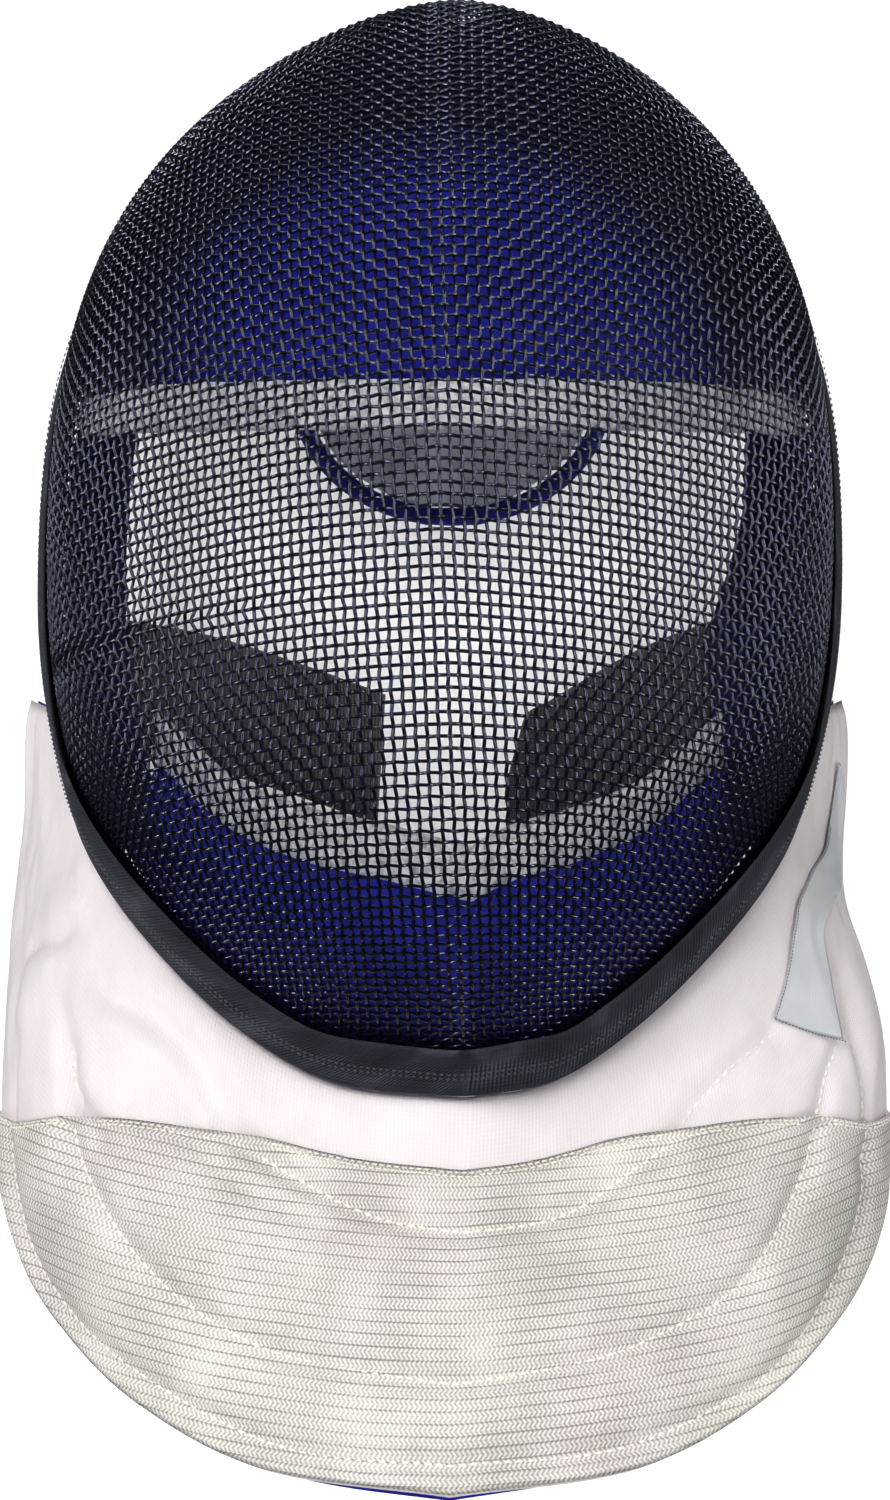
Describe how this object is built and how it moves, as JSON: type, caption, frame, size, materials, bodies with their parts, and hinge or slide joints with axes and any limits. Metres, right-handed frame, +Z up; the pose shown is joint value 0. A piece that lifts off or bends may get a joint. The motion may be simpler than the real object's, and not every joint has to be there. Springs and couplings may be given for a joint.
{
  "type": "fencing mask",
  "caption": "Fencing mask: ridged woven wire cage with a webbing trim, padded throat bib with a conductive lower panel, inner pads, back tongue and straps.",
  "frame": {"origin": "inner face of the crown pad, in the middle of the mask, where it sits on the top of a head", "axes": "+Z up through the crown, -Y out through the front of the mesh, +X to the right as seen from the front"},
  "size_m": [0.2583, 0.2461, 0.4149],
  "materials": {
    "black_mesh": "woven steel wire in black enamel",
    "navy_webbing": "ribbed dark navy webbing",
    "white_cotton": "fine ribbed white ballistic cloth",
    "blue_cotton": "plain blue lining cloth",
    "conductive_cloth": "silver beige metallised cloth with darker cross threads",
    "blue_lining": "royal blue lining over foam",
    "grey_velour": "crinkled silver grey velour",
    "side_lining_cloth": "blue lining over foam",
    "strap_webbing": "black webbing",
    "dark_blue_lining": "dark blue lining over foam",
    "silver_velour": "crinkled silver grey velour",
    "grey_cloth": "grey brushed cloth",
    "blue_binding": "blue tape binding",
    "grey_satin": "pale grey satin"
  },
  "bodies": {
    "root": {"mesh_cage": "black_mesh", "edge_trim": "navy_webbing", "bib_shell": "white_cotton", "bib_lining": "blue_cotton", "bib_conductive_panel": "conductive_cloth", "forehead_pad": "blue_lining", "forehead_band": "grey_velour", "side_lining_left": "side_lining_cloth", "side_lining_right": "side_lining_cloth", "rear_strap_left": "strap_webbing", "rear_strap_right": "strap_webbing", "chin_pad": "dark_blue_lining", "chin_band": "silver_velour", "back_tongue": "grey_cloth", "tongue_binding": "blue_binding", "side_label": "grey_satin"}
  },
  "joints": []
}
